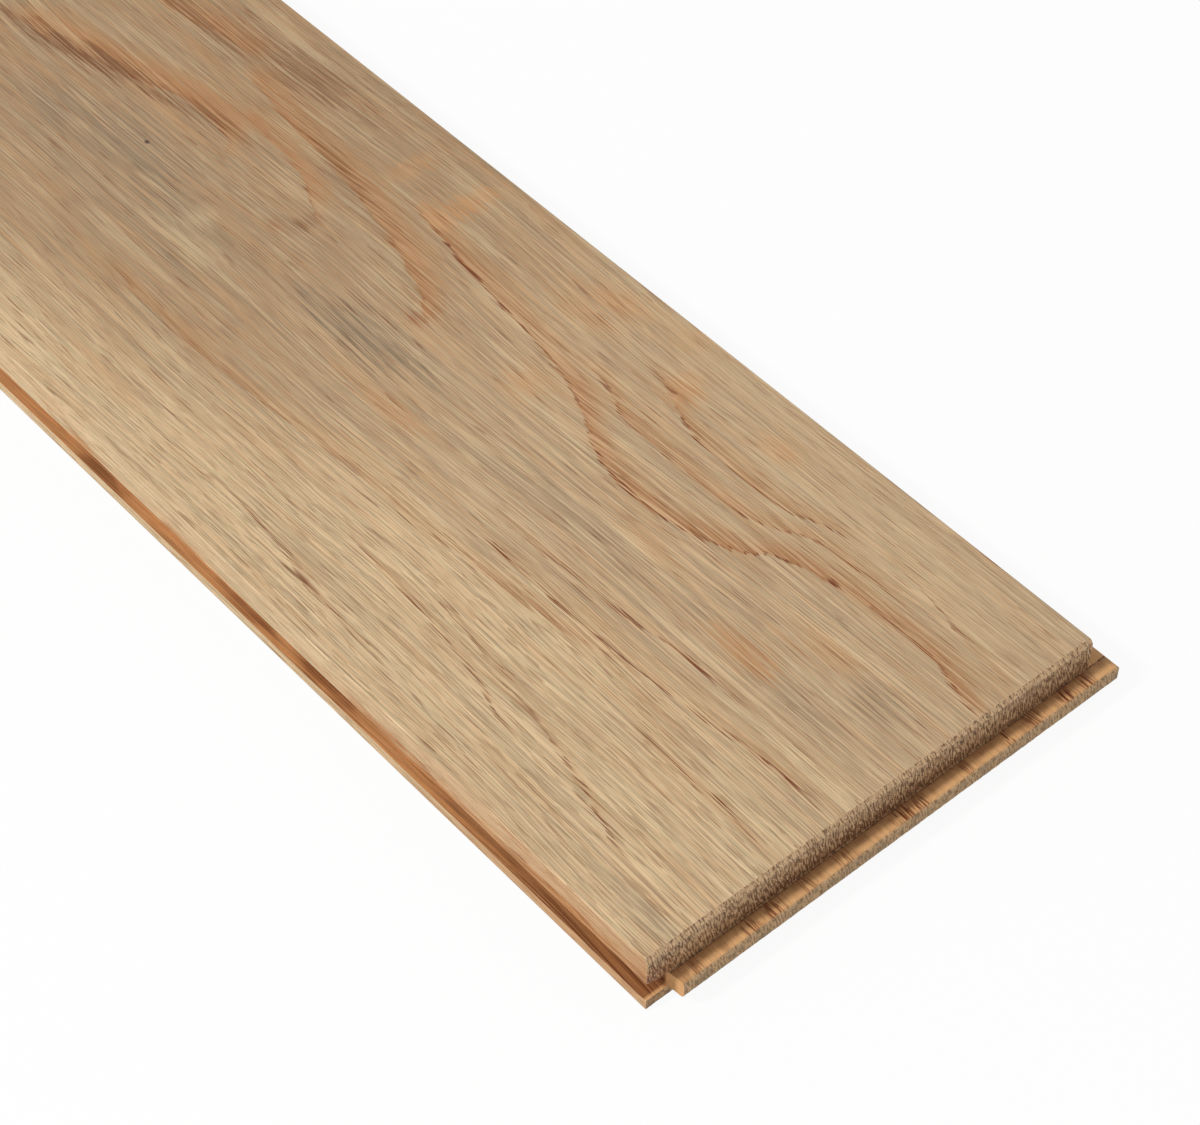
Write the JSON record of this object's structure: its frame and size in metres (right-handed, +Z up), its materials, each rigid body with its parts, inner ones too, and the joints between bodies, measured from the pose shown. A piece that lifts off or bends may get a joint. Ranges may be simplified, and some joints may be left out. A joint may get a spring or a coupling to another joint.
{
  "type": "solid hardwood floorboard",
  "caption": "Flat solid oak floorboard, unfinished, with a tongue and groove along its long edges and across its ends so boards lock together into a floor.",
  "frame": {"origin": "middle of the underside, below the middle of the face: the tongues reach past the face on +X and +Y and are not counted in the middle", "axes": "+X along the length towards the end tongue, +Y across the width towards the side tongue, +Z up out of the walked-on face"},
  "size_m": [1.205, 0.1565, 0.02],
  "materials": {
    "oak": "bare unfinished oak, planed and lightly open-grained, matt"
  },
  "bodies": {
    "root": {"oak_board": "oak"}
  },
  "joints": []
}
